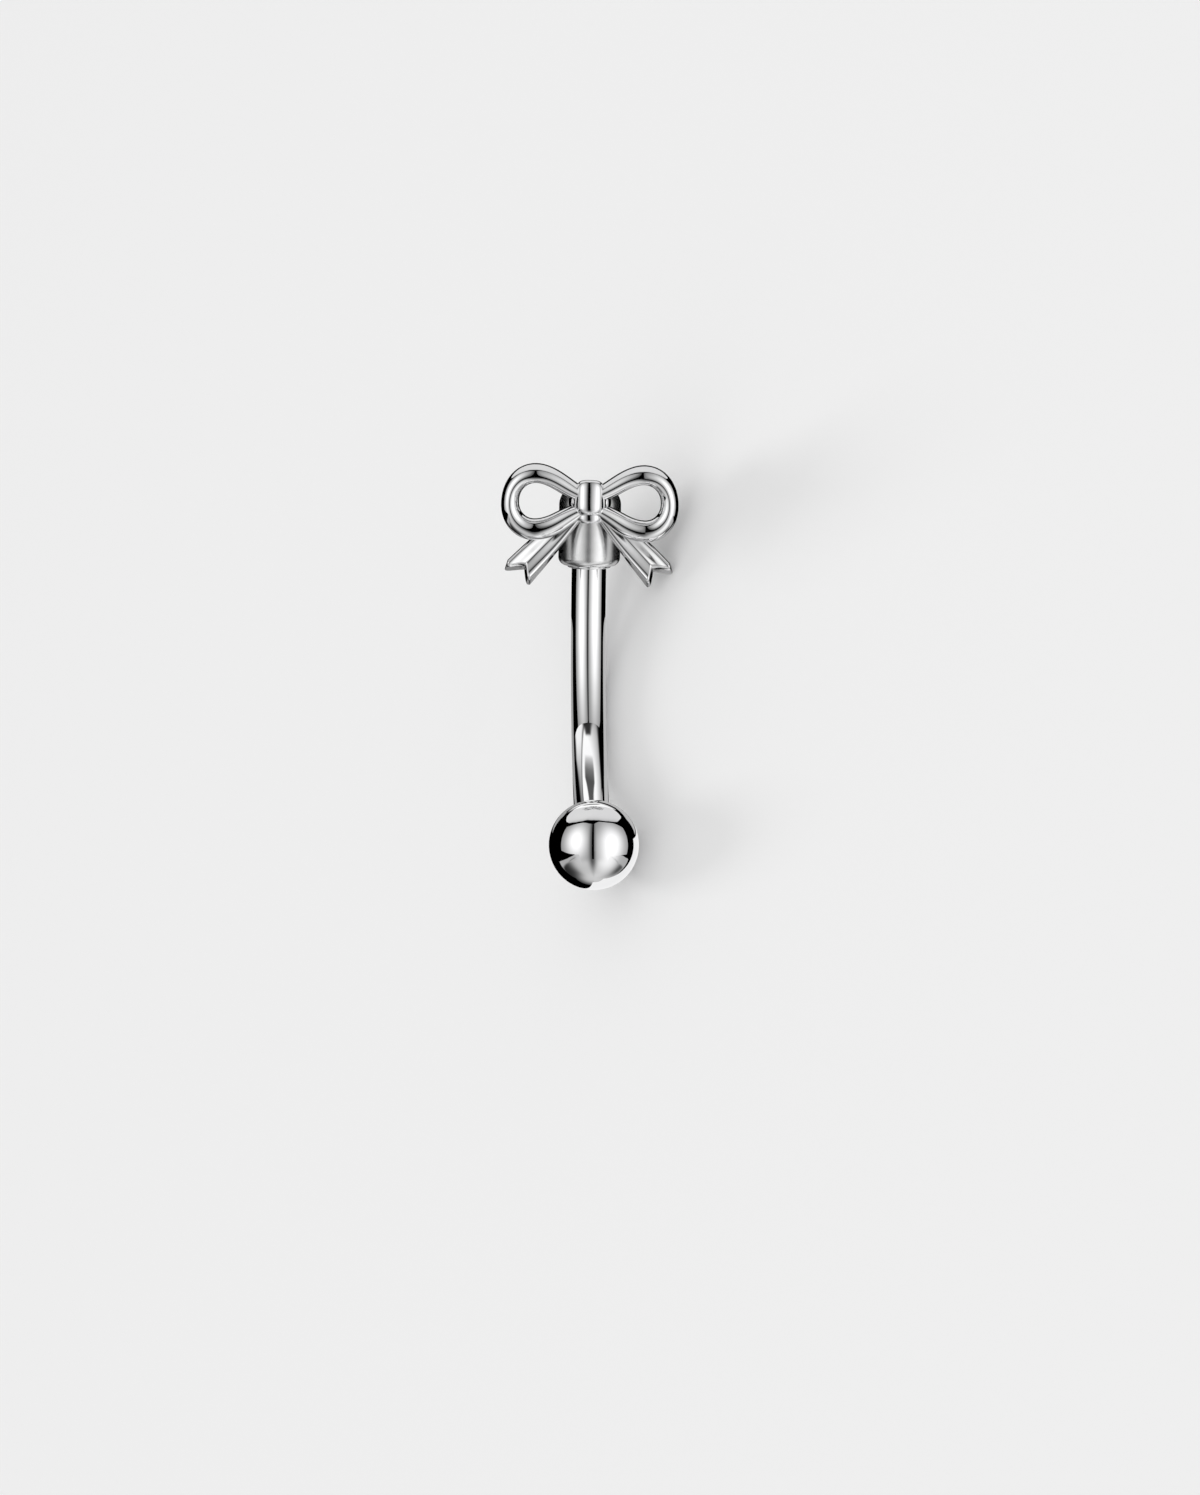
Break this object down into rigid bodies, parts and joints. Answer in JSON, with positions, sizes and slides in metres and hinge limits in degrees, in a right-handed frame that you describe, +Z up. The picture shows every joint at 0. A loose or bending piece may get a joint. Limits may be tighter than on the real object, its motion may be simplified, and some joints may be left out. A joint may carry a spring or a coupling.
{
  "type": "eyebrow stud",
  "caption": "Curved barbell eyebrow stud in polished steel, with a screw-on ball at one end and a cast ribbon bow on a satin barrel at the other.",
  "frame": {"origin": "middle of the lying stud's outline, on the surface that it rests on", "axes": "+X along the stud from the ball to the bow, +Y on the side of the bar's outer curve, +Z up from the surface"},
  "size_m": [0.0148, 0.006, 0.0057],
  "materials": {
    "curved_bar": "mirror-polished surgical steel",
    "ball": "mirror-polished surgical steel",
    "barrel": "satin surgical steel with a polished lower rim",
    "bow": "polished cast steel"
  },
  "bodies": {
    "root": {"curved_bar": "curved_bar", "ball": "ball", "barrel": "barrel", "bow": "bow"}
  },
  "joints": []
}
